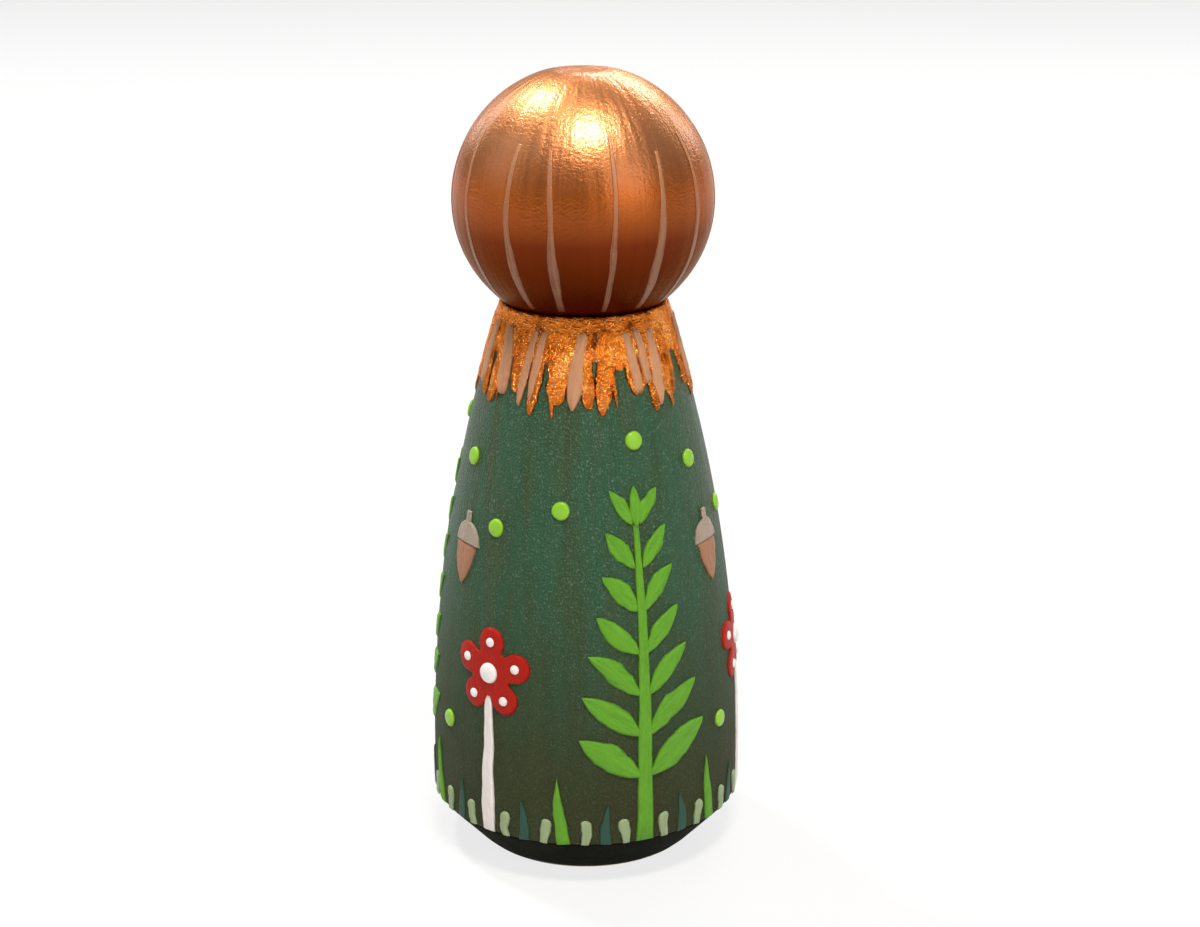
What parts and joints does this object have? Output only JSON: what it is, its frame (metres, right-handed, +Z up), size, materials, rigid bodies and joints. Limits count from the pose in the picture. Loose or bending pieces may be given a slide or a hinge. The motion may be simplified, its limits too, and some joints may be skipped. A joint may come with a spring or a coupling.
{
  "type": "peg doll",
  "caption": "Painted wooden peg doll that stands on its own: a turned cone-shaped body with a bevelled foot, a ball head on a glued dowel, and raised paint strokes.",
  "frame": {"origin": "centre of the flat foot, on the surface the doll stands on", "axes": "+Z up along the turning axis; +Y the way the face looks; the pictured back faces -Y; +X to the right as the back is seen"},
  "size_m": [0.0362, 0.0363, 0.0889],
  "materials": {
    "wood": "sanded bare maple-like wood",
    "dowel_wood": "fluted beech-like dowel",
    "cloak_green": "satin acrylic paint, brushed",
    "hem_dark": "satin acrylic paint",
    "hair_copper": "glossy copper metallic acrylic paint",
    "face_skin": "satin acrylic paint",
    "strand_tan": "thin satin acrylic paint",
    "fringe_copper": "copper metallic acrylic paint, dabbed",
    "highlight_tan": "satin acrylic paint",
    "leaf_green": "thick satin acrylic paint",
    "stem_white": "thick satin acrylic paint",
    "petal_red": "thick satin acrylic paint",
    "spot_white": "domed dot of acrylic paint",
    "nut_brown": "satin acrylic paint",
    "cap_grey": "satin acrylic paint",
    "dot_lime": "domed dot of acrylic paint",
    "spike_teal": "satin acrylic paint",
    "drop_sage": "satin acrylic paint",
    "eye_dark": "domed dot of acrylic paint",
    "cheek_rose": "thin satin acrylic paint",
    "smile_brown": "thin satin acrylic paint"
  },
  "bodies": {
    "root": {"turned_body": "wood", "ball_head": "wood", "neck_dowel": "dowel_wood", "cloak_coat": "cloak_green", "hem_coat": "hem_dark", "hair_coat": "hair_copper", "face_coat": "face_skin", "hair_strands": "strand_tan", "hair_fringe": "fringe_copper", "fringe_highlights": "highlight_tan", "sprig_stems": "leaf_green", "sprig_leaves": "leaf_green", "flower_stems": "stem_white", "flower_petals": "petal_red", "flower_spots": "spot_white", "acorn_nuts": "nut_brown", "acorn_caps": "cap_grey", "light_dots": "dot_lime", "grass_blades": "leaf_green", "grass_spikes": "spike_teal", "grass_drops": "drop_sage", "eyes": "eye_dark", "cheeks": "cheek_rose", "smile": "smile_brown"}
  },
  "joints": []
}
